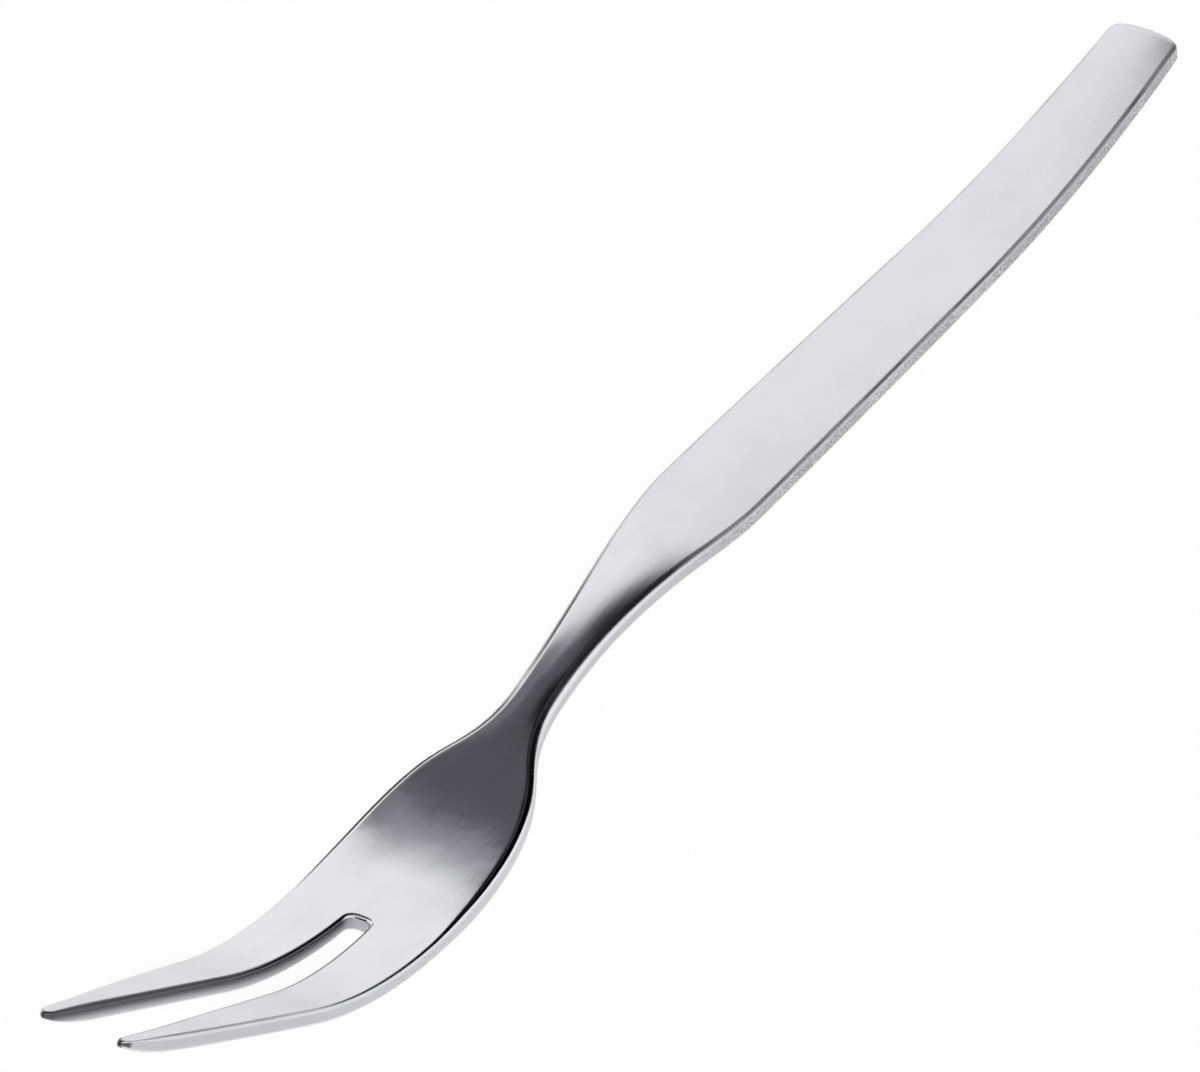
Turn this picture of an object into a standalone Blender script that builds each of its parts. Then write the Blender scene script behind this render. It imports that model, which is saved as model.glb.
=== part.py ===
import math

import bmesh
import bpy
import numpy as np
from mathutils import Vector
from mathutils.geometry import interpolate_bezier

# A cold meat fork pressed from one strip of stainless steel: two long tines, a shallow bowl, a slim neck and
# a flat tapering handle. The flat blank is laid out first, its edges are coined round, and it is then bent.
# Sizes are in millimetres and angles in degrees. Lengths run along the metal, from the tine tips.

# Outline of the blank.
TIP_TO_HEAD = 57.2
HEAD_TO_NECK = 24.8
NECK_TO_SHOULDER = 30.4
SHOULDER_TO_END = 83.1
HEAD_WIDTH = 14.6
NECK_WIDTH = 4.5
SHOULDER_WIDTH = 9.9
END_WIDTH = 7.1

# How far each curve of the outline runs straight on before it turns, and the slope of its two ends.
TIP_EASE = 18.0
HEAD_EASE_TO_TIP = 12.8
HEAD_EASE_TO_NECK = 18.3
NECK_EASE_TO_HEAD = 10.8
NECK_EASE_TO_SHOULDER = 12.8
SHOULDER_EASE_TO_NECK = 7.6
SHOULDER_EASE_TO_END = 10.0
END_EASE = 25.0
TIP_FLARE = 6.7
END_TAPER = 1.9

# Rounded end of the handle.
END_DEPTH = 1.6
END_CORNER_EASE = 1.3
END_FACE_EASE = 2.8

# Slot between the tines, and their blunt tips.
SLOT_LENGTH = 50.6
SLOT_ROOT_WIDTH = 2.3
SLOT_ROOT_RADIUS = 0.8
TIP_GAP = 6.2
TIP_WIDTH = 1.15
TIP_BULGE = 0.8

# Thickness of the metal. The tines are thinned, and near the tips their underside rises.
STOCK_THICKNESS = 1.8
TINE_THICKNESS = 1.5
TIP_LENGTH = 8.0
TIP_TOP_DROP = 0.05
TIP_UNDER_RISE = 0.85

# Fall of the upper face from the centre line to the edge. The bowl has none, and it grows near the handle's end.
NECK_CROWN = 0.22
HANDLE_CROWN = 0.1
END_CROWN = 0.15
END_CROWN_LENGTH = 15.0

# Coined edges: how far the rounding reaches in from the outline, and how far it drops. In the slot both grow
# towards the tips.
TIP_RIM = 0.12
TINE_RIM = 0.2
NECK_RIM = 0.9
HANDLE_RIM = 0.4
TIP_RIM_DROP = 0.1
TINE_RIM_DROP = 0.3
NECK_RIM_DROP = 0.55
HANDLE_RIM_DROP = 0.35
SLOT_RIM_EXTRA = 0.25
UNDER_RIM = 0.2

# Bends along the middle of the metal: straight tines, bowl, straight neck, crown, straight grip, heel.
TINE_STRAIGHT = 30.5
BOWL_RADIUS = 52.0
BOWL_TURN = 43.3
NECK_STRAIGHT = 11.9
CROWN_RADIUS = 71.0
CROWN_TURN = 18.4
GRIP_STRAIGHT = 52.3
HEEL_RADIUS = 174.5

# How finely the blank is divided, and the share of the end's curve that the rows at its corner take.
CURVE_POINTS = 40
COLUMNS = 4
RIM_STEPS = 3
TIP_ROWS = 5
TINE_ROWS = 14
ROOT_STEPS = 4
HEAD_ROWS = 13
FLARE_ROWS = 14
HANDLE_ROWS = 15
CORNER_ROWS = 2
CORNER_SHARE = 0.4

HEAD_AT = TIP_TO_HEAD
NECK_AT = HEAD_AT + HEAD_TO_NECK
SHOULDER_AT = NECK_AT + NECK_TO_SHOULDER
BLANK_LENGTH = SHOULDER_AT + SHOULDER_TO_END
END_AT = BLANK_LENGTH - END_DEPTH


def metres(millimetres):
    return millimetres / 1000


def curve(start, start_handle, end_handle, end):
    knots = [Vector(point) for point in (start, start_handle, end_handle, end)]
    return interpolate_bezier(*knots, CURVE_POINTS)


def side_curve():
    # One side of the blank, from the outside of a tine tip to the corner of the handle.
    tip = TIP_GAP / 2 + TIP_WIDTH
    head = HEAD_WIDTH / 2
    neck = NECK_WIDTH / 2
    shoulder = SHOULDER_WIDTH / 2
    end = END_WIDTH / 2
    tip_handle = (TIP_EASE, tip + TIP_EASE * math.tan(math.radians(TIP_FLARE)))
    end_handle = (END_AT - END_EASE, end + END_EASE * math.tan(math.radians(END_TAPER)))
    points = curve((0, tip), tip_handle, (HEAD_AT - HEAD_EASE_TO_TIP, head), (HEAD_AT, head))
    points += curve((HEAD_AT, head), (HEAD_AT + HEAD_EASE_TO_NECK, head),
                    (NECK_AT - NECK_EASE_TO_HEAD, neck), (NECK_AT, neck))
    points += curve((NECK_AT, neck), (NECK_AT + NECK_EASE_TO_SHOULDER, neck),
                    (SHOULDER_AT - SHOULDER_EASE_TO_NECK, shoulder), (SHOULDER_AT, shoulder))
    points += curve((SHOULDER_AT, shoulder), (SHOULDER_AT + SHOULDER_EASE_TO_END, shoulder),
                    end_handle, (END_AT, end))
    return np.array(points)


def end_curve():
    # Half of the handle's rounded end, from its side to the centre line.
    half = END_WIDTH / 2
    points = curve((END_AT, half), (END_AT + END_CORNER_EASE, half),
                   (BLANK_LENGTH, END_FACE_EASE), (BLANK_LENGTH, 0))
    return np.array(points)


SIDE = side_curve()
END = end_curve()


def half_width(length):
    return float(np.interp(length, SIDE[:, 0], SIDE[:, 1]))


def end_point(share):
    steps = np.linspace(0, 1, len(END))
    return Vector((np.interp(share, steps, END[:, 0]), np.interp(share, steps, END[:, 1])))


def along(length, tip, tine, neck, handle):
    # A size that changes from the tips through the tines and the neck to the handle.
    places = (0, TIP_LENGTH, SLOT_LENGTH, (HEAD_AT + NECK_AT) / 2, NECK_AT, SHOULDER_AT)
    return float(np.interp(length, places, (tip, tine, tine, neck, neck, handle)))


def tine_lengths():
    # Places of the rows along a tine, which crowd towards its tip.
    taper = TIP_LENGTH - TIP_BULGE
    near_tip = [TIP_BULGE + taper * (row / TIP_ROWS) ** 1.6 for row in range(1, TIP_ROWS + 1)]
    shank = np.linspace(TIP_LENGTH, SLOT_LENGTH - SLOT_ROOT_RADIUS, TINE_ROWS + 1)[1:-1]
    return near_tip + list(shank)


def slot_half_width(length):
    root = SLOT_ROOT_WIDTH / 2
    nearness = 1 - length / (SLOT_LENGTH - SLOT_ROOT_RADIUS)
    return root + max(nearness, 0) * (TIP_GAP / 2 - root)


def slot_edge():
    # From the middle of the slot's root, round its corner and along a tine to the tip.
    root = SLOT_ROOT_WIDTH / 2
    straight = SLOT_LENGTH - SLOT_ROOT_RADIUS
    centre = Vector((straight, root - SLOT_ROOT_RADIUS))
    points = [Vector((SLOT_LENGTH, 0))]
    for step in range(ROOT_STEPS):
        turn = math.radians(90 * step / (ROOT_STEPS - 1))
        points.append(centre + SLOT_ROOT_RADIUS * Vector((math.cos(turn), math.sin(turn))))
    for length in reversed(tine_lengths()):
        points.append(Vector((length, slot_half_width(length))))
    return points


def tip_edge():
    # The blunt end of a tine, from the slot to the outside.
    points = []
    for column in range(COLUMNS + 1):
        share = column / COLUMNS
        points.append(Vector((TIP_BULGE * (2 * share - 1) ** 2, TIP_GAP / 2 + share * TIP_WIDTH)))
    return points


def side_edge():
    # The outside, from the tip to the corner of the handle, with rows that spread out from the slot's root.
    root_end = SLOT_LENGTH + SLOT_ROOT_WIDTH
    lengths = tine_lengths()
    lengths += list(np.linspace(SLOT_LENGTH - SLOT_ROOT_RADIUS, root_end, ROOT_STEPS + 1))
    lengths += list(np.linspace(root_end, NECK_AT, HEAD_ROWS + 1)[1:])
    lengths += list(np.linspace(NECK_AT, SHOULDER_AT, FLARE_ROWS + 1)[1:])
    lengths += list(np.linspace(SHOULDER_AT, END_AT, HANDLE_ROWS + 1)[1:-1])
    points = [Vector((length, half_width(length))) for length in lengths]
    return points + [end_point(CORNER_SHARE * row / CORNER_ROWS) for row in range(CORNER_ROWS)]


def end_edge():
    # The handle's end, from its corner to the centre line.
    rest = 1 - CORNER_SHARE
    return [end_point(CORNER_SHARE + rest * column / COLUMNS) for column in range(COLUMNS + 1)]


def outward(outline):
    # The direction square to the outline at each point; its two ends lie on the centre line.
    normals = [Vector((-1, 0))]
    for before, after in zip(outline, outline[2:]):
        run = after - before
        normals.append(Vector((-run.y, run.x)).normalized())
    return normals + [Vector((1, 0))]


def thickness(length):
    return float(np.interp(length, (SLOT_LENGTH, HEAD_AT), (TINE_THICKNESS, STOCK_THICKNESS)))


def nearness_to_tip(length):
    return max(1 - length / TIP_LENGTH, 0) ** 2


def nearness_to_end(length):
    return max(1 - (BLANK_LENGTH - length) / END_CROWN_LENGTH, 0) ** 2


def crown(point):
    # Fall of the upper face, which grows with the square of the distance from the centre line.
    places = ((HEAD_AT + NECK_AT) / 2, NECK_AT, SHOULDER_AT)
    size = float(np.interp(point.x, places, (0, NECK_CROWN, HANDLE_CROWN)))
    size += (END_CROWN - HANDLE_CROWN) * nearness_to_end(point.x)
    return size * (point.y / half_width(point.x)) ** 2


def top_of(point):
    # Height of the upper face above the middle of the metal.
    return thickness(point.x) / 2 - TIP_TOP_DROP * nearness_to_tip(point.x) - crown(point)


def underside_of(point):
    return TIP_UNDER_RISE * nearness_to_tip(point.x) - thickness(point.x) / 2


def upper_rim(point):
    # How far the upper edge's rounding reaches in, and how far it drops.
    reach = along(point.x, TIP_RIM, TINE_RIM, NECK_RIM, HANDLE_RIM)
    drop = along(point.x, TIP_RIM_DROP, TINE_RIM_DROP, NECK_RIM_DROP, HANDLE_RIM_DROP)
    slot = slot_half_width(point.x)
    side = half_width(point.x)
    extra = SLOT_RIM_EXTRA * max(1 - point.x / SLOT_LENGTH, 0) * (side - point.y) / (side - slot)
    return reach + extra, drop + extra


def under_rim(point):
    return UNDER_RIM, UNDER_RIM


def bends():
    # Length and curvature of each stretch, from the tips to the handle's end.
    stretches = [
        (TINE_STRAIGHT, 0),
        (BOWL_RADIUS * math.radians(BOWL_TURN), 1 / BOWL_RADIUS),
        (NECK_STRAIGHT, 0),
        (CROWN_RADIUS * math.radians(CROWN_TURN), -1 / CROWN_RADIUS),
        (GRIP_STRAIGHT, 0),
    ]
    used = sum(length for length, curvature in stretches)
    return stretches + [(BLANK_LENGTH - used, 1 / HEEL_RADIUS)]


def walk(start, heading, length, curvature):
    # Point and heading after a length of one stretch.
    if curvature == 0:
        return start + length * Vector((math.cos(heading), math.sin(heading))), heading
    turned = heading + length * curvature
    step = Vector((math.sin(turned) - math.sin(heading), math.cos(heading) - math.cos(turned)))
    return start + step / curvature, turned


def middle_at(length, heading):
    # Point and heading of the middle of the metal, for tines that start with a given heading.
    point = Vector((0, 0))
    stretches = bends()
    for run, curvature in stretches[:-1]:
        if length <= run:
            return walk(point, heading, length, curvature)
        point, heading = walk(point, heading, run, curvature)
        length -= run
    return walk(point, heading, length, stretches[-1][1])


def rest_heading():
    # Heading of the tines at which the bowl and the heel touch the table together.
    centres = []
    start = 0
    for run, curvature in bends():
        if curvature > 0:
            point, heading = middle_at(start, 0)
            centres.append(point + Vector((-math.sin(heading), math.cos(heading))) / curvature)
        start += run
    bowl, heel = centres
    span = heel - bowl
    return math.asin((HEEL_RADIUS - BOWL_RADIUS) / span.length) - math.atan2(span.y, span.x)


HEADING = rest_heading()


def bent(point, height):
    # A point of the flat blank, carried to its place on the bent fork.
    middle, heading = middle_at(point.x, HEADING)
    place = middle + height * Vector((-math.sin(heading), math.cos(heading)))
    return metres(Vector((place.x, point.y, place.y)))


def add_sheet(mesh, rows):
    for row, following in zip(rows, rows[1:]):
        for column in range(len(row) - 1):
            mesh.faces.new((row[column], following[column], following[column + 1], row[column + 1]))


def border(rows, slot_rows):
    # The vertices round the flat: along the slot to the tip, across it, along the side, across the end.
    slot = [row[0] for row in rows[slot_rows:0:-1]]
    side = [row[-1] for row in rows[1:-1]]
    return slot + rows[0] + side + rows[-1][::-1]


def flat_rows(slot, tip, side, end):
    # Rows across one face inside its rounded edges, from the tip to the handle's end.
    root = slot[0].x
    root_row = side[len(slot) - 1].x
    rows = [tip]
    for inner, outer in zip(reversed(slot), side):
        rows.append([inner.lerp(outer, column / COLUMNS) for column in range(COLUMNS + 1)])
    for outer in side[len(slot):]:
        lag = max(NECK_AT - outer.x, 0) / (NECK_AT - root_row)
        inner = Vector((outer.x + lag * (root - root_row), 0))
        rows.append([inner.lerp(outer, column / COLUMNS) for column in range(COLUMNS + 1)])
    return rows + [end[::-1]]


def add_face(mesh, height_of, rim_of, inward):
    # Vertices of one face: its rows, and the rings of its rounded edge out to the wall.
    edges = [slot_edge(), tip_edge(), side_edge(), end_edge()]
    outline = [point for edge in edges for point in edge]
    inset = []
    drops = []
    for point, normal in zip(outline, outward(outline)):
        reach, drop = rim_of(point)
        inset.append(point - normal * reach)
        drops.append(drop)
    waiting = iter(inset)
    flat = flat_rows(*[[next(waiting) for point in edge] for edge in edges])
    rows = [[mesh.verts.new(bent(point, height_of(point))) for point in row] for row in flat]
    rings = [border(rows, len(edges[0]))]
    for step in range(1, RIM_STEPS + 1):
        turn = math.radians(90 * step / RIM_STEPS)
        ring = []
        for start, edge, drop in zip(inset, outline, drops):
            point = start.lerp(edge, math.sin(turn))
            height = height_of(point) + inward * drop * (1 - math.cos(turn))
            ring.append(mesh.verts.new(bent(point, height)))
        rings.append(ring)
    return rows, rings


def add_half_fork(mesh):
    upper, over = add_face(mesh, top_of, upper_rim, -1)
    lower, under = add_face(mesh, underside_of, under_rim, 1)
    add_sheet(mesh, upper)
    add_sheet(mesh, [row[::-1] for row in lower])
    add_sheet(mesh, [list(place) for place in zip(*over, *under[::-1])])


for old in list(bpy.data.objects):
    bpy.data.objects.remove(old)

work = bmesh.new()
add_half_fork(work)
xs = [vertex.co.x for vertex in work.verts]
table = min(vertex.co.z for vertex in work.verts)
bmesh.ops.translate(work, verts=work.verts, vec=(-(min(xs) + max(xs)) / 2, 0, -table))
fork_mesh = bpy.data.meshes.new("fork")
work.to_mesh(fork_mesh)
work.free()

fork = bpy.data.objects.new("fork", fork_mesh)
bpy.context.scene.collection.objects.link(fork)
mirror = fork.modifiers.new("other_half", "MIRROR")
mirror.use_axis = (False, True, False)
mirror.use_clip = True
mirror.merge_threshold = 0.00001

steel = bpy.data.materials.new("satin_steel")
steel.use_nodes = True
surface = steel.node_tree.nodes["Principled BSDF"]
surface.inputs["Base Color"].default_value = (0.62, 0.62, 0.65, 1)
surface.inputs["Metallic"].default_value = 1
surface.inputs["Roughness"].default_value = 0.3
fork_mesh.materials.append(steel)
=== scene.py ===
import math
import bmesh
import bpy
import numpy as np
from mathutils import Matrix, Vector
from mathutils.geometry import interpolate_bezier


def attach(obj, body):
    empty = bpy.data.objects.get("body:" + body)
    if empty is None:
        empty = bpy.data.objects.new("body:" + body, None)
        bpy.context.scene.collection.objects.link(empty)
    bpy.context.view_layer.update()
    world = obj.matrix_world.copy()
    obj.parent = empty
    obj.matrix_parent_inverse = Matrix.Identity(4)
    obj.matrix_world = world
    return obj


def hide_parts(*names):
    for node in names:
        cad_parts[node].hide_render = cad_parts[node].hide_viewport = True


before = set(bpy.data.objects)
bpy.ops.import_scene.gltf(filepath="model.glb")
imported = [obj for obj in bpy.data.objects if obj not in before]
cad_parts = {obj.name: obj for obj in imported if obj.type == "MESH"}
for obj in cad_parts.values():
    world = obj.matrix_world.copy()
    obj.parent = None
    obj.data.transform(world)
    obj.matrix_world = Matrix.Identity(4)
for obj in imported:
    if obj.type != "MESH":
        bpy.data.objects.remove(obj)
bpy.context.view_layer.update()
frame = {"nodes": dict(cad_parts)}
print("frame loaded:", ", ".join(frame["nodes"]))


def hexToLinear(hexColour):
    linear = []
    for start in (1, 3, 5):
        value = int(hexColour[start:start + 2], 16) / 255
        linear.append(value / 12.92 if value <= 0.04045 else ((value + 0.055) / 1.055) ** 2.4)
    return (*linear, 1)


# settings name a node's properties or its input sockets; links join an input socket to another node's output
def addNode(tree, kind, settings, links=None):
    node = tree.nodes.new(kind)
    for name, value in settings.items():
        if isinstance(name, int) or name in node.inputs:
            node.inputs[name].default_value = value
        else:
            setattr(node, name, value)
    for name, source in (links or {}).items():
        tree.links.new(source, node.inputs[name])
    return node


def newMaterial(name):
    material = bpy.data.materials.new(name)
    material.use_nodes = True
    material.node_tree.nodes.clear()
    return material, material.node_tree


# The flat strip that the fork is pressed from: millimetres along the metal from the tine tips, slopes
# in degrees
blank = dict(
    tipToHead=57.2, headToNeck=24.8, neckToShoulder=30.4, shoulderToEnd=83.1,
    headWidth=14.6, neckWidth=4.5, shoulderWidth=9.9, endWidth=7.1,
    tipEase=18.0, headEaseToTip=12.8, headEaseToNeck=18.3, neckEaseToHead=10.8,
    neckEaseToShoulder=12.8, shoulderEaseToNeck=7.6, shoulderEaseToEnd=10.0, endEase=25.0,
    tipFlare=6.7, endTaper=1.9,
    endDepth=1.6, endCornerEase=1.3, endFaceEase=2.8,
    slotLength=50.6, slotRootWidth=2.3, slotRootRadius=0.8,
    tipGap=6.2, tipWidth=1.15, tipBulge=0.8,
)

# How the edges are coined and the faces dressed, in millimetres; four values run tip, tine, neck, handle.
# In the slot the rims grow towards the tips, and stay inside slotBand.
coining = dict(
    stock=1.8, tineStock=1.5, tipLength=8.0, tipTopDrop=0.05, tipUnderRise=0.85,
    headCrown=0.05, headCrownPower=8, neckCrown=0.26, handleCrown=0.1, crownRun=14.0,
    endCrown=0.26, endCrownLength=15.0,
    rimReach=(0.12, 0.44, 0.9, 0.46), rimDrop=(0.1, 0.4, 0.55, 0.35), slotRimExtra=0.26, slotBand=0.8,
    underRim=0.2,
)

# Straights and bends along the strip, in millimetres and degrees
bending = dict(
    tineStraight=30.5, bowlRadius=52.0, bowlTurn=43.3, neckStraight=11.9,
    crownRadius=71.0, crownTurn=18.4, gripStraight=52.3, heelRadius=174.5,
)

# Fineness of the mesh. The rows at the end's corner take cornerShare of its curve, the rows of a tine crowd
# to its tip by the power tipCrowding, and the halves are joined within mergeDistance in metres.
fineness = dict(
    curvePoints=400, columns=14, rimSteps=9, wallSteps=3, tipRows=14, tineRows=80, rootSteps=12,
    headRows=64, flareRows=66, handleRows=120, cornerRows=8, cornerShare=0.4, tipCrowding=1.6,
    mergeDistance=0.000002,
)

headAt = blank["tipToHead"]
neckAt = headAt + blank["headToNeck"]
shoulderAt = neckAt + blank["neckToShoulder"]
blankLength = shoulderAt + blank["shoulderToEnd"]
endAt = blankLength - blank["endDepth"]


def bezier(start, startHandle, endHandle, end):
    knots = [Vector(point) for point in (start, startHandle, endHandle, end)]
    return [tuple(point) for point in interpolate_bezier(*knots, fineness["curvePoints"])]


def sideOutline():
    tip = blank["tipGap"] / 2 + blank["tipWidth"]
    head = blank["headWidth"] / 2
    neck = blank["neckWidth"] / 2
    shoulder = blank["shoulderWidth"] / 2
    end = blank["endWidth"] / 2
    tipSlope = math.tan(math.radians(blank["tipFlare"]))
    endSlope = math.tan(math.radians(blank["endTaper"]))
    points = bezier((0, tip), (blank["tipEase"], tip + blank["tipEase"] * tipSlope),
                    (headAt - blank["headEaseToTip"], head), (headAt, head))
    points += bezier((headAt, head), (headAt + blank["headEaseToNeck"], head),
                     (neckAt - blank["neckEaseToHead"], neck), (neckAt, neck))
    points += bezier((neckAt, neck), (neckAt + blank["neckEaseToShoulder"], neck),
                     (shoulderAt - blank["shoulderEaseToNeck"], shoulder), (shoulderAt, shoulder))
    points += bezier((shoulderAt, shoulder), (shoulderAt + blank["shoulderEaseToEnd"], shoulder),
                     (endAt - blank["endEase"], end + blank["endEase"] * endSlope), (endAt, end))
    return np.array(points)


def endOutline():
    half = blank["endWidth"] / 2
    return np.array(bezier((endAt, half), (endAt + blank["endCornerEase"], half),
                           (blankLength, blank["endFaceEase"]), (blankLength, 0)))


side = sideOutline()
end = endOutline()


def halfWidth(length):
    return float(np.interp(length, side[:, 0], side[:, 1]))


def endPoint(share):
    steps = np.linspace(0, 1, len(end))
    return Vector((np.interp(share, steps, end[:, 0]), np.interp(share, steps, end[:, 1])))


# Smooth steps between the values given at a few places along the metal
def eased(length, places, values):
    for start, stop, first, second in zip(places, places[1:], values, values[1:]):
        if length <= stop:
            share = max((length - start) / (stop - start), 0)
            return first + (second - first) * share * share * (3 - 2 * share)
    return values[-1]


def along(length, sizes):
    tip, tine, neck, handle = sizes
    places = (0, coining["tipLength"], blank["slotLength"], (headAt + neckAt) / 2, neckAt, shoulderAt)
    return eased(length, places, (tip, tine, tine, neck, neck, handle))


def thickness(length):
    return eased(length, (blank["slotLength"], headAt), (coining["tineStock"], coining["stock"]))


def nearTip(length):
    return max(1 - length / coining["tipLength"], 0) ** 2


def nearEnd(length):
    return max(1 - (blankLength - length) / coining["endCrownLength"], 0) ** 2


# The upper face falls with the square of the distance from its middle, and in the head mostly near the edges
def topOf(point):
    places = ((headAt + neckAt) / 2, neckAt, shoulderAt + coining["crownRun"])
    size = eased(point.x, places, (0, coining["neckCrown"], coining["handleCrown"]))
    size += (coining["endCrown"] - coining["handleCrown"]) * nearEnd(point.x)
    headSize = eased(point.x, (blank["slotLength"], headAt, neckAt), (0, coining["headCrown"], 0))
    share = point.y / halfWidth(point.x)
    crown = size * share ** 2 + headSize * share ** coining["headCrownPower"]
    return thickness(point.x) / 2 - coining["tipTopDrop"] * nearTip(point.x) - crown


def undersideOf(point):
    return coining["tipUnderRise"] * nearTip(point.x) - thickness(point.x) / 2


# Length and curvature of each stretch from the tips to the handle's end
def bendChain():
    chain = [
        (bending["tineStraight"], 0),
        (bending["bowlRadius"] * math.radians(bending["bowlTurn"]), 1 / bending["bowlRadius"]),
        (bending["neckStraight"], 0),
        (bending["crownRadius"] * math.radians(bending["crownTurn"]), -1 / bending["crownRadius"]),
        (bending["gripStraight"], 0),
    ]
    used = sum(length for length, curvature in chain)
    return chain + [(blankLength - used, 1 / bending["heelRadius"])]


chain = bendChain()


def walk(start, heading, length, curvature):
    if curvature == 0:
        return start + length * Vector((math.cos(heading), math.sin(heading))), heading
    turned = heading + length * curvature
    step = Vector((math.sin(turned) - math.sin(heading), math.cos(heading) - math.cos(turned)))
    return start + step / curvature, turned


def middleAt(length, heading):
    point = Vector((0, 0))
    for run, curvature in chain[:-1]:
        if length <= run:
            return walk(point, heading, length, curvature)
        point, heading = walk(point, heading, run, curvature)
        length -= run
    return walk(point, heading, length, chain[-1][1])


# The tines' heading at which the bowl and the heel touch the table together
def restHeading():
    centres = []
    start = 0
    for run, curvature in chain:
        if curvature > 0:
            point, heading = middleAt(start, 0)
            centres.append(point + Vector((-math.sin(heading), math.cos(heading))) / curvature)
        start += run
    bowl, heel = centres
    span = heel - bowl
    drop = bending["heelRadius"] - bending["bowlRadius"]
    return math.asin(drop / span.length) - math.atan2(span.y, span.x)


tineHeading = restHeading()


def bent(point, height):
    middle, heading = middleAt(point.x, tineHeading)
    place = middle + height * Vector((-math.sin(heading), math.cos(heading)))
    return Vector((place.x, point.y, place.y)) / 1000  # millimetres to metres


# Places of the rows along a tine, which crowd towards its tip
def tineLengths():
    taper = coining["tipLength"] - blank["tipBulge"]
    rows = fineness["tipRows"]
    crowding = fineness["tipCrowding"]
    tipPart = [blank["tipBulge"] + taper * (row / rows) ** crowding for row in range(1, rows + 1)]
    straight = blank["slotLength"] - blank["slotRootRadius"]
    return tipPart + list(np.linspace(coining["tipLength"], straight, fineness["tineRows"] + 1)[1:-1])


def slotHalfWidth(length):
    root = blank["slotRootWidth"] / 2
    nearness = 1 - length / (blank["slotLength"] - blank["slotRootRadius"])
    return root + max(nearness, 0) * (blank["tipGap"] / 2 - root)


def slotEdge():
    root = blank["slotRootWidth"] / 2
    radius = blank["slotRootRadius"]
    straight = blank["slotLength"] - radius
    points = [Vector((blank["slotLength"], 0))]
    for step in range(fineness["rootSteps"]):
        turn = math.radians(90 * step / (fineness["rootSteps"] - 1))
        points.append(Vector((straight + radius * math.cos(turn), root - radius + radius * math.sin(turn))))
    for length in reversed(tineLengths()):
        points.append(Vector((length, slotHalfWidth(length))))
    return points


# Columns crowd towards both edges, where the rounding starts
def columnShares():
    columns = fineness["columns"]
    return [0.5 - 0.5 * math.cos(math.pi * column / columns) for column in range(columns + 1)]


def tipEdge():
    points = []
    for share in columnShares():
        across = blank["tipGap"] / 2 + share * blank["tipWidth"]
        points.append(Vector((blank["tipBulge"] * (2 * share - 1) ** 2, across)))
    return points


def sideEdge():
    rootStart = blank["slotLength"] - blank["slotRootRadius"]
    rootEnd = blank["slotLength"] + blank["slotRootWidth"]
    lengths = tineLengths()
    lengths += list(np.linspace(rootStart, rootEnd, fineness["rootSteps"] + 1))
    lengths += list(np.linspace(rootEnd, neckAt, fineness["headRows"] + 1)[1:])
    lengths += list(np.linspace(neckAt, shoulderAt, fineness["flareRows"] + 1)[1:])
    lengths += list(np.linspace(shoulderAt, endAt, fineness["handleRows"] + 1)[1:-1])
    rows = fineness["cornerRows"]
    corner = [endPoint(fineness["cornerShare"] * row / rows) for row in range(rows)]
    return [Vector((length, halfWidth(length))) for length in lengths] + corner


def endEdge():
    corner = fineness["cornerShare"]
    return [endPoint(corner + (1 - corner) * share) for share in columnShares()]


def outward(outline):
    normals = [Vector((-1, 0))]
    for before, after in zip(outline, outline[2:]):
        run = after - before
        normals.append(Vector((-run.y, run.x)).normalized())
    return normals + [Vector((1, 0))]


def addSheet(mesh, rows):
    for row, following in zip(rows, rows[1:]):
        for column in range(len(row) - 1):
            mesh.faces.new((row[column], following[column], following[column + 1], row[column + 1]))


# The vertices round a face: along the slot to the tip, across it, along the side, across the end
def border(rows, slotRows):
    slot = [row[0] for row in rows[slotRows:0:-1]]
    flank = [row[-1] for row in rows[1:-1]]
    return slot + rows[0] + flank + rows[-1][::-1]


# Rows across one face inside its rounded edges, from the tip to the handle's end
def flatRows(slot, tip, flank, back):
    root = slot[0].x
    rootRow = flank[len(slot) - 1].x
    shares = columnShares()
    rows = [tip]
    for inner, outer in zip(reversed(slot), flank):
        rows.append([inner.lerp(outer, share) for share in shares])
    for outer in flank[len(slot):]:
        lag = max(neckAt - outer.x, 0) / (neckAt - rootRow)
        inner = Vector((outer.x + lag * (root - rootRow), 0))
        rows.append([inner.lerp(outer, share) for share in shares])
    return rows + [back[::-1]]


# How far the rounding of an edge reaches in from the outline, and how far it drops
def upperRim(point):
    slot = slotHalfWidth(point.x)
    flank = halfWidth(point.x)
    inside = (flank - point.y) / (flank - slot)
    extra = coining["slotRimExtra"] * max(1 - point.x / blank["slotLength"], 0) * inside
    return along(point.x, coining["rimReach"]) + extra, along(point.x, coining["rimDrop"]) + extra


def underRim(point):
    return coining["underRim"], coining["underRim"]


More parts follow.
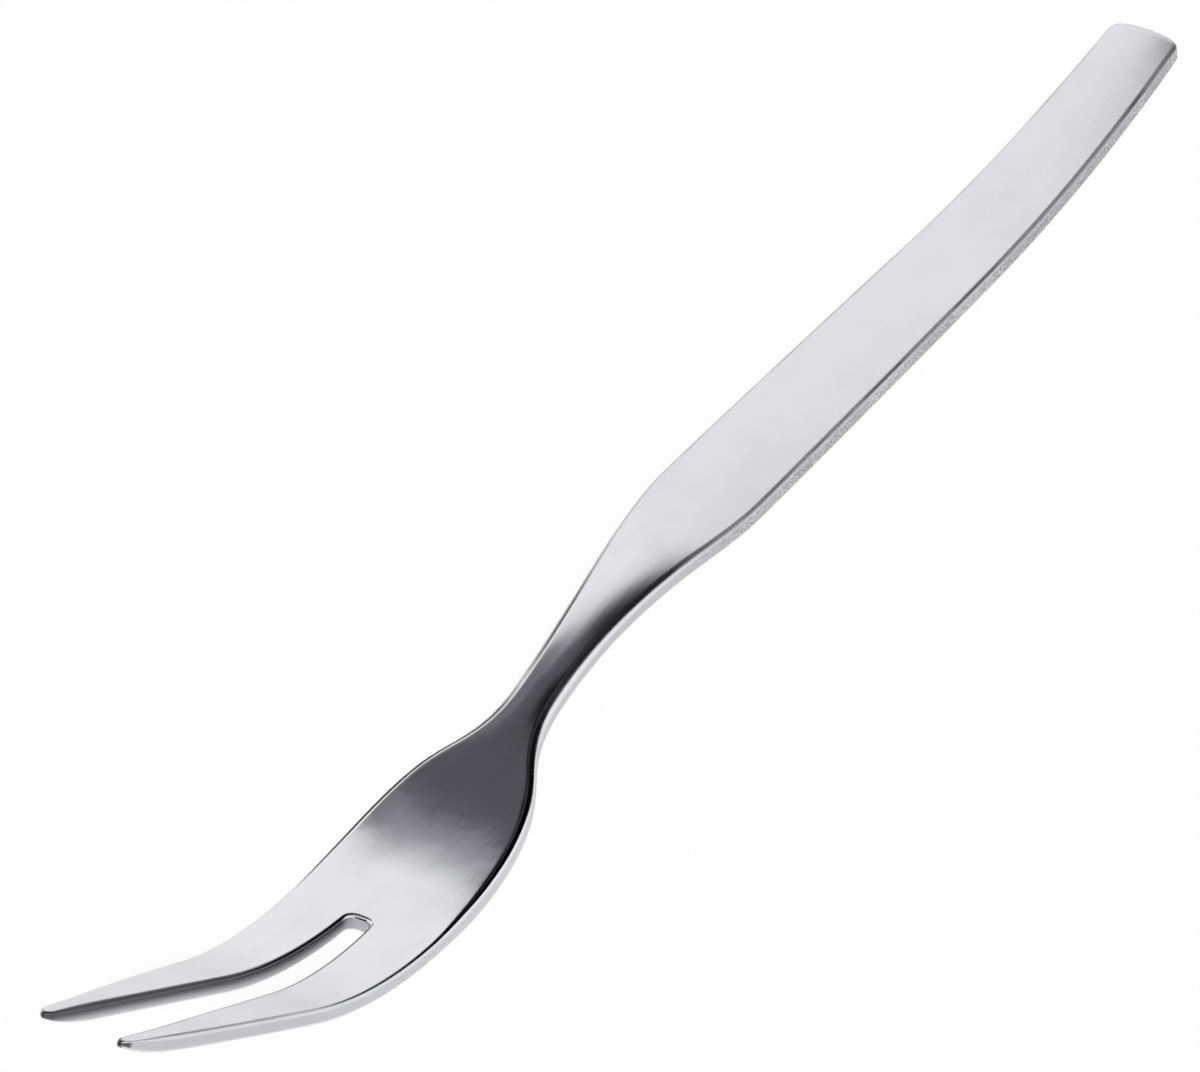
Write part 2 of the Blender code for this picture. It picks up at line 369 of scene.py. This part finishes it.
# Each vertex keeps its place on the flat strip, its share of the edge (0 flat, up to 1 over the rim, 2 on
# the wall) and whether that edge is the slot's
def addHalfFork(mesh):
    placeLayer = mesh.verts.layers.float_vector.new("blankPlace")
    edgeLayer = mesh.verts.layers.float.new("edgeShare")
    slotLayer = mesh.verts.layers.float.new("slotShare")
    edges = [slotEdge(), tipEdge(), sideEdge(), endEdge()]
    outline = [point for edge in edges for point in edge]
    normals = outward(outline)

    def addVertex(point, height, edgeShare):
        vertex = mesh.verts.new(bent(point, height))
        vertex[placeLayer] = (point.x, point.y, height)
        vertex[edgeLayer] = edgeShare
        besideSlot = point.y <= slotHalfWidth(point.x) + coining["slotBand"]
        vertex[slotLayer] = edgeShare > 0 and point.x <= blank["slotLength"] and besideSlot
        return vertex

    def addFace(heightOf, rimOf, inward):
        rims = [rimOf(point) for point in outline]
        inset = [point - normal * reach for point, normal, (reach, drop) in zip(outline, normals, rims)]
        waiting = iter(inset)
        flat = flatRows(*[[next(waiting) for point in edge] for edge in edges])
        rows = [[addVertex(point, heightOf(point), 0) for point in row] for row in flat]
        rings = [border(rows, len(edges[0]))]
        for step in range(1, fineness["rimSteps"] + 1):
            share = step / fineness["rimSteps"]
            turn = math.radians(90 * share)
            ring = []
            for start, edge, (reach, drop) in zip(inset, outline, rims):
                point = start.lerp(edge, math.sin(turn))
                height = heightOf(point) + inward * drop * (1 - math.cos(turn))
                ring.append(addVertex(point, height, share))
            rings.append(ring)
        return rows, rings

    upper, over = addFace(topOf, upperRim, -1)
    lower, under = addFace(undersideOf, underRim, 1)
    wall = []
    for step in range(1, fineness["wallSteps"]):
        share = step / fineness["wallSteps"]
        ring = []
        for point, high, low in zip(outline, over[-1], under[-1]):
            upperHeight = high[placeLayer].z
            height = upperHeight + share * (low[placeLayer].z - upperHeight)
            ring.append(addVertex(point, height, 2))
        wall.append(ring)

    addSheet(mesh, upper)
    addSheet(mesh, [row[::-1] for row in lower])
    addSheet(mesh, [list(place) for place in zip(*over, *wall, *under[::-1])])
    return placeLayer


def makeFork():
    work = bmesh.new()
    placeLayer = addHalfFork(work)
    half = work.verts[:] + work.edges[:] + work.faces[:]
    bmesh.ops.mirror(work, geom=half, axis="Y", merge_dist=fineness["mergeDistance"])
    xs = [vertex.co.x for vertex in work.verts]
    table = min(vertex.co.z for vertex in work.verts)
    bmesh.ops.translate(work, verts=work.verts, vec=(-(min(xs) + max(xs)) / 2, 0, -table))
    for vertex in work.verts:
        place = vertex[placeLayer]
        vertex[placeLayer] = (place.x, vertex.co.y * 1000, place.z)  # metres to millimetres
    bmesh.ops.recalc_face_normals(work, faces=work.faces)
    for face in work.faces:
        face.smooth = True
    mesh = bpy.data.meshes.new("pressedFork")
    work.to_mesh(mesh)
    work.free()
    piece = bpy.data.objects.new("pressedFork", mesh)
    bpy.context.scene.collection.objects.link(piece)
    return piece


# Stainless steel, ground and then buffed to a soft satin. The eye sees bright and dark bands of the room,
# blurred along the handle and clearer in the bowl, where buffing is easiest. The head's edges have a polished
# line, the handle's are duller and unevenly worn, and the handle's wall is grainy. The tips' ends and the top
# of the slot's wall are darkened with a painted dark reflection.
# Zones run between two places in millimetres along or through the metal, or between two shares of the edge.
# Patterns have sizes in millimetres along, across and through the metal, and a detail; grinding lines and
# hairlines are really finer, and are drawn coarse enough to show. Spots keep a pattern's high values, from
# none to the most they count, and overlaps are products. Bumps are depths in millimetres.
satinSteel = dict(
    zones=dict(
        bowl=("length", 40.0, 58.0), crown=("length", 80.0, 94.0), handle=("length", 92.0, 112.0),
        headStart=("length", 56.0, 64.0), headStop=("length", 90.0, 80.0), head=("length", 76.0, 64.0),
        neck=("length", 66.0, 78.0), tine=("length", 40.0, 26.0), tip=("length", 1.1, 0.7),
        slotRoot=("length", 50.3, 49.2), rim=("edge", 0.1, 1.0), wall=("edge", 0.8, 1.3),
        slot=("slot", 0.2, 1.0), edgeTop=("edge", 0.0, 0.3), upper=("height", -0.6, 0.3)),
    patterns=dict(
        grain=((18.0, 0.16, 0.16), 2.0), cloud=((9.0, 5.0, 7.0), 3.0), ripple=((9.0, 6.0, 9.0), 1.0),
        dent=((6.0, 4.0, 6.0), 3.0), hairline=((30.0, 0.1, 0.1), 1.0), wallLine=((0.22, 0.22, 4.0), 2.0),
        speck=((0.16, 0.16, 0.16), 1.0), wear=((8.0, 8.0, 8.0), 1.0)),
    patternRoughness=0.55,
    spots=dict(
        clouded=("cloud", 0.4, 0.7, 0.6), speckled=("speck", 0.36, 0.64, 1.0),
        worn=("wear", 0.38, 0.62, 1.0)),
    overlaps=dict(
        headRim=("head", "rim"), neckRim=("neck", "edgeTop"), tineRim=("tine", "edgeTop"),
        handleRim=("handle", "edgeTop"), wornRim=("handle", "edgeTop", "worn"),
        specked=("handle", "edgeTop", "speck"), handleWall=("handle", "wall"),
        # The tip's wall and the top of the slot's wall are the masks of a painted dark reflection
        wallSpeck=("handle", "wall", "speckled"), tipPaintedDarkReflection=("tip", "wall"),
        slotTopPaintedDarkReflection=("slot", "slotRoot", "edgeTop", "upper"), headDent=("headStart", "headStop", "dent"),
        sheared=("wall", "wallLine")),
    colour="#EAEAEE",
    # The two darkest tints are a painted dark reflection on the tips' ends and the top of the slot's wall
    tints=dict(
        handle="#E4E4E9", clouded="#DFDFE4", wall="#D4D4D9", handleWall="#F2F2F5", wallSpeck="#B8B8BE",
        tipPaintedDarkReflection="#64646A", slotTopPaintedDarkReflection="#64646A"),
    roughness=0.26,
    roughnessSteps=dict(
        bowl=-0.11, crown=0.05, handle=0.06, headRim=-0.07, tineRim=0.12, neckRim=0.06, handleRim=0.14,
        wornRim=0.2, wall=0.14, grain=0.05, cloud=0.03),
    hairlineFrom=0.68, hairlineRoughness=0.05,
    bumps=dict(ripple=0.06, headDent=0.032, grain=0.0012, sheared=0.001, specked=0.005),
)


def makeSatinSteel():
    steel = satinSteel
    material, tree = newMaterial("stainlessSteelBuffedSatin")
    place = addNode(tree, "ShaderNodeAttribute", {"attribute_name": "blankPlace"}).outputs["Vector"]
    apart = addNode(tree, "ShaderNodeSeparateXYZ", {}, {0: place})
    runs = dict(length=apart.outputs["X"], height=apart.outputs["Z"])
    for run, attribute in (("edge", "edgeShare"), ("slot", "slotShare")):
        runs[run] = addNode(tree, "ShaderNodeAttribute", {"attribute_name": attribute}).outputs["Fac"]

    shares = {}
    for name, (run, low, high) in steel["zones"].items():
        settings = {"interpolation_type": "SMOOTHSTEP", 1: low, 2: high}
        shares[name] = addNode(tree, "ShaderNodeMapRange", settings, {0: runs[run]}).outputs[0]
    for name, (sizes, detail) in steel["patterns"].items():
        scale = tuple(1 / size for size in sizes)
        stretched = addNode(tree, "ShaderNodeVectorMath", {"operation": "MULTIPLY", 1: scale}, {0: place})
        settings = {"Scale": 1.0, "Detail": detail, "Roughness": steel["patternRoughness"]}
        noise = addNode(tree, "ShaderNodeTexNoise", settings, {"Vector": stretched.outputs[0]})
        shares[name] = noise.outputs[0]
    for name, (pattern, low, high, most) in steel["spots"].items():
        settings = {"interpolation_type": "SMOOTHSTEP", 1: low, 2: high, 4: most}
        shares[name] = addNode(tree, "ShaderNodeMapRange", settings, {0: shares[pattern]}).outputs[0]
    for name, (first, *others) in steel["overlaps"].items():
        shares[name] = shares[first]
        for other in others:
            factors = {0: shares[name], 1: shares[other]}
            shares[name] = addNode(tree, "ShaderNodeMath", {"operation": "MULTIPLY"}, factors).outputs[0]

    # Roughness adds a step for each zone, and half a step up or down for each pattern
    patternSteps = [step for name, step in steel["roughnessSteps"].items() if name in steel["patterns"]]
    smooth = steel["roughness"] - sum(patternSteps) / 2
    settings = {1: steel["hairlineFrom"], 2: 1.0, 3: smooth, 4: smooth + steel["hairlineRoughness"]}
    roughness = addNode(tree, "ShaderNodeMapRange", settings, {0: shares["hairline"]}).outputs[0]
    for name, step in steel["roughnessSteps"].items():
        roughness = addNode(tree, "ShaderNodeMath", {"operation": "MULTIPLY_ADD", 1: step},
                            {0: shares[name], 2: roughness}).outputs[0]

    # Colour: a greyer handle, faint clouds left by buffing, a greyer sheared wall that is paler and speckled
    # along the handle, and a painted dark reflection on the tips' ends and the top of the slot's wall
    colour = None
    for name, tint in steel["tints"].items():
        settings = {"data_type": "RGBA", 6: hexToLinear(steel["colour"]), 7: hexToLinear(tint)}
        links = {0: shares[name]}
        if colour:
            links[6] = colour
        colour = addNode(tree, "ShaderNodeMix", settings, links).outputs[2]

    # Bump: long soft ripples from pressing, shallow dents in the head, grinding lines, shearing lines on the
    # wall and specks along the handle's edges
    surface = addNode(tree, "ShaderNodeBsdfPrincipled", {"Metallic": 1.0},
                      {"Base Color": colour, "Roughness": roughness})
    normal = surface.inputs["Normal"]
    for name, depth in reversed(steel["bumps"].items()):
        settings = {"Distance": depth / 1000}  # millimetres to metres
        bump = addNode(tree, "ShaderNodeBump", settings, {"Height": shares[name]})
        tree.links.new(bump.outputs[0], normal)
        normal = bump.inputs["Normal"]
    addNode(tree, "ShaderNodeOutputMaterial", {}, {"Surface": surface.outputs[0]})
    return material


pressedFork = makeFork()
pressedFork.data.materials.append(makeSatinSteel())
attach(pressedFork, "root")
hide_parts("fork")
print("fork made:", len(pressedFork.data.polygons), "faces")

# White studio in metres, and degrees from +X and above the table: a table just clear of the metal, a far
# backdrop, and round the fork a paper tent that fades to grey overhead and is seen in reflections only.
# White shares say how much of a kind of ray sees plain white; the rest sees the lit paper.
studio = dict(
    tableRadius=7.0, tableSegments=96, tableDrop=0.00005, backdropRadius=4.5, backdropRise=60.0,
    paperColour="#F4F4F4",
    tableWhite={"Is Camera Ray": 0.95, "Is Glossy Ray": 0.3, "Is Transmission Ray": 0.95},
    paperWhite={"Is Camera Ray": 1.0, "Is Glossy Ray": 1.0, "Is Transmission Ray": 1.0},
    tentRadius=0.25, tentFade=44.0, tentDark=59.0, tentTopColour="#8E8E93", ceiling="#3E3E42",
    domeRows=25, domeTurns=range(0, 361, 5),
)

# Evenly lit cards inside the tent, seen in reflections only, which give the metal its dark and grey bands:
# a radius in metres, and columns of a turn and the rises of the lower and upper edge in degrees
cards = dict(
    sideCard=dict(colour="#050506", radius=0.24, columns=(
        (-72, 40, 50), (-60, 43, 66), (-53, 35, 74), (-46, 24, 76), (-38, 22, 77), (-34, 20, 78),
        (-24, 2, 78), (-18, 2, 78), (-16, 2, 54), (-8, 2, 54), (-2, 12, 54), (0, 32, 54), (6, 34, 54),
        (8, 35, 78), (14, 38, 78), (20, 42, 72), (26, 46, 62), (36, 53, 55))),
    cornerCard=dict(colour="#5C5C60", radius=0.24, columns=(
        (-46, 22, 24), (-38, 6, 22), (-34, 2, 20), (-24, 1, 2))),
    crownCard=dict(colour="#2C2C30", radius=0.24, columns=(
        (-18, 54, 78), (-12, 54, 78), (-8, 54, 66), (8, 54, 66))),
    farCard=dict(colour="#050506", radius=0.235, columns=((51.5, 2, 28), (58, 2, 30), (64.5, 2, 34))),
    backCard=dict(colour="#717176", radius=0.235, columns=(
        (46, 51, 54), (52, 47, 56), (60, 43, 56), (80, 41, 56), (100, 41, 56))),
    upperCard=dict(colour="#58585C", radius=0.245, columns=(
        *[(turn, 57, 71) for turn in range(-75, 31, 15)],
        (42, 57.5, 71), (48, 58.5, 71), (51, 60, 71), (54, 57.5, 71),
        *[(turn, 57, 71) for turn in range(60, 121, 15)])),
    topCard=dict(colour="#3C3C40", radius=0.235, columns=[(turn, 70, 90) for turn in range(-90, 11, 10)]),
    neckCard=dict(colour="#050506", radius=0.235, columns=[(turn, 70, 90) for turn in range(10, 121, 10)]),
    tipCard=dict(colour="#050506", radius=0.235, columns=((143, 0, 34), (165, 0, 34), (187, 0, 34))),
)


# Paper that is white to the eye and in reflections, and keeps its shadows by the share left to plain paper
def makePaper(name, whiteShares, fadeHeights=None):
    material, tree = newMaterial(name)
    light = addNode(tree, "ShaderNodeLightPath", {})
    share = None
    for ray, part in whiteShares.items():
        links = {0: light.outputs[ray]}
        if share:
            links[2] = share
        settings = {"operation": "MULTIPLY_ADD", 1: part, 2: 0.0}
        share = addNode(tree, "ShaderNodeMath", settings, links).outputs[0]
    plain = addNode(tree, "ShaderNodeBsdfDiffuse", {"Color": hexToLinear(studio["paperColour"])})
    white = addNode(tree, "ShaderNodeEmission", {"Strength": 1.0, "Color": (1, 1, 1, 1)})
    if fadeHeights:
        place = addNode(tree, "ShaderNodeTexCoord", {}).outputs["Object"]
        height = addNode(tree, "ShaderNodeSeparateXYZ", {}, {0: place}).outputs["Z"]
        settings = {"interpolation_type": "SMOOTHSTEP", 1: fadeHeights[0], 2: fadeHeights[1]}
        fade = addNode(tree, "ShaderNodeMapRange", settings, {0: height})
        settings = {"data_type": "RGBA", 6: (1, 1, 1, 1), 7: hexToLinear(studio["tentTopColour"])}
        faded = addNode(tree, "ShaderNodeMix", settings, {0: fade.outputs[0]})
        tree.links.new(faded.outputs[2], white.inputs["Color"])
    mixed = addNode(tree, "ShaderNodeMixShader", {}, {0: share, 1: plain.outputs[0], 2: white.outputs[0]})
    addNode(tree, "ShaderNodeOutputMaterial", {}, {"Surface": mixed.outputs[0]})
    return material


# A part of a dome, from columns of a turn, a lower rise and an upper rise
def makeDome(name, radius, columns, material):
    work = bmesh.new()
    rows = []
    for turn, low, high in columns:
        row = []
        for rise in np.radians(np.linspace(low, high, studio["domeRows"])):
            across = radius * math.cos(rise)
            place = (across * math.cos(math.radians(turn)), across * math.sin(math.radians(turn)))
            row.append(work.verts.new((*place, radius * math.sin(rise))))
        rows.append(row)
    addSheet(work, rows)
    mesh = bpy.data.meshes.new(name)
    work.to_mesh(mesh)
    work.free()
    mesh.materials.append(material)
    return bpy.data.objects.new(name, mesh)


def makeTable():
    work = bmesh.new()
    bmesh.ops.create_circle(work, cap_ends=True, segments=studio["tableSegments"],
                            radius=studio["tableRadius"])
    mesh = bpy.data.meshes.new("studioTable")
    work.to_mesh(mesh)
    work.free()
    table = bpy.data.objects.new("studioTable", mesh)
    table.location.z = -studio["tableDrop"]
    mesh.materials.append(makePaper("tablePaperMatt", studio["tableWhite"]))
    return table


def makeBackdrop():
    paper = makePaper("backdropPaperMatt", studio["paperWhite"])
    columns = [(turn, 0, studio["backdropRise"]) for turn in studio["domeTurns"]]
    return makeDome("studioBackdrop", studio["backdropRadius"], columns, paper)


def makeTent():
    rises = (studio["tentFade"], studio["tentDark"])
    heights = [studio["tentRadius"] * math.sin(math.radians(rise)) for rise in rises]
    paper = makePaper("tentPaperMatt", studio["paperWhite"], heights)
    columns = [(turn, 0, 90) for turn in studio["domeTurns"]]
    pieces = [makeDome("paperTent", studio["tentRadius"], columns, paper)]
    for name, card in cards.items():
        shade, tree = newMaterial(name + "EvenlyLit")
        even = addNode(tree, "ShaderNodeEmission", {"Strength": 1.0, "Color": hexToLinear(card["colour"])})
        addNode(tree, "ShaderNodeOutputMaterial", {}, {"Surface": even.outputs[0]})
        pieces.append(makeDome(name, card["radius"], card["columns"], shade))
    for piece in pieces:
        piece.visible_camera = False
        piece.visible_shadow = False
        piece.visible_diffuse = False
    return pieces


for stagePiece in [makeTable(), makeBackdrop()] + makeTent():
    bpy.context.scene.collection.objects.link(stagePiece)

room = bpy.data.worlds.new("greyCeiling")
room.use_nodes = True
room.node_tree.nodes["Background"].inputs["Color"].default_value = hexToLinear(studio["ceiling"])
room.node_tree.nodes["Background"].inputs["Strength"].default_value = 1.0
bpy.context.scene.world = room
print("studio made")

# Soft lamps: direction from +X and above the table in degrees, distance and size in metres, power in watts
lamps = dict(
    keyLamp=dict(turn=215.0, rise=36.0, distance=3.0, size=0.9, power=60.0),
    topLamp=dict(turn=215.0, rise=88.0, distance=3.0, size=0.9, power=20.0),
)


def makeLamp(name, lamp):
    data = bpy.data.lights.new(name, "AREA")
    data.shape = "DISK"
    data.size = lamp["size"]
    data.energy = lamp["power"]
    turn = math.radians(lamp["turn"])
    rise = math.radians(lamp["rise"])
    away = Vector((math.cos(turn) * math.cos(rise), math.sin(turn) * math.cos(rise), math.sin(rise)))
    lampObject = bpy.data.objects.new(name, data)
    lampObject.location = away * lamp["distance"]
    lampObject.rotation_euler = away.to_track_quat("Z", "Y").to_euler()
    lampObject.visible_camera = False
    lampObject.visible_glossy = False
    bpy.context.scene.collection.objects.link(lampObject)


for lampName, lampValues in lamps.items():
    makeLamp(lampName, lampValues)
print("lamps made:", ", ".join(lamps))

# Camera at the photograph's angle: degrees, metres, and the width of the view at the target
camera = dict(
    turn=-60.43, rise=38.96, distance=1.2, target=(-0.00816, 0.0, 0.01501), viewWidth=0.1041,
    sensorWidth=36.0, clipStart=0.05,  # sensor in millimetres
)


def makeCamera():
    data = bpy.data.cameras.new("photoCamera")
    data.sensor_fit = "HORIZONTAL"
    data.sensor_width = camera["sensorWidth"]
    data.lens = data.sensor_width * camera["distance"] / camera["viewWidth"]
    data.clip_start = camera["clipStart"]
    turn = math.radians(camera["turn"])
    rise = math.radians(camera["rise"])
    away = Vector((math.sin(turn) * math.cos(rise), -math.cos(turn) * math.cos(rise), math.sin(rise)))
    cameraObject = bpy.data.objects.new("photoCamera", data)
    cameraObject.location = Vector(camera["target"]) + away * camera["distance"]
    cameraObject.rotation_euler = away.to_track_quat("Z", "Y").to_euler()
    bpy.context.scene.collection.objects.link(cameraObject)
    bpy.context.scene.camera = cameraObject


makeCamera()
bpy.context.scene.view_settings.view_transform = "Standard"
print("camera made")
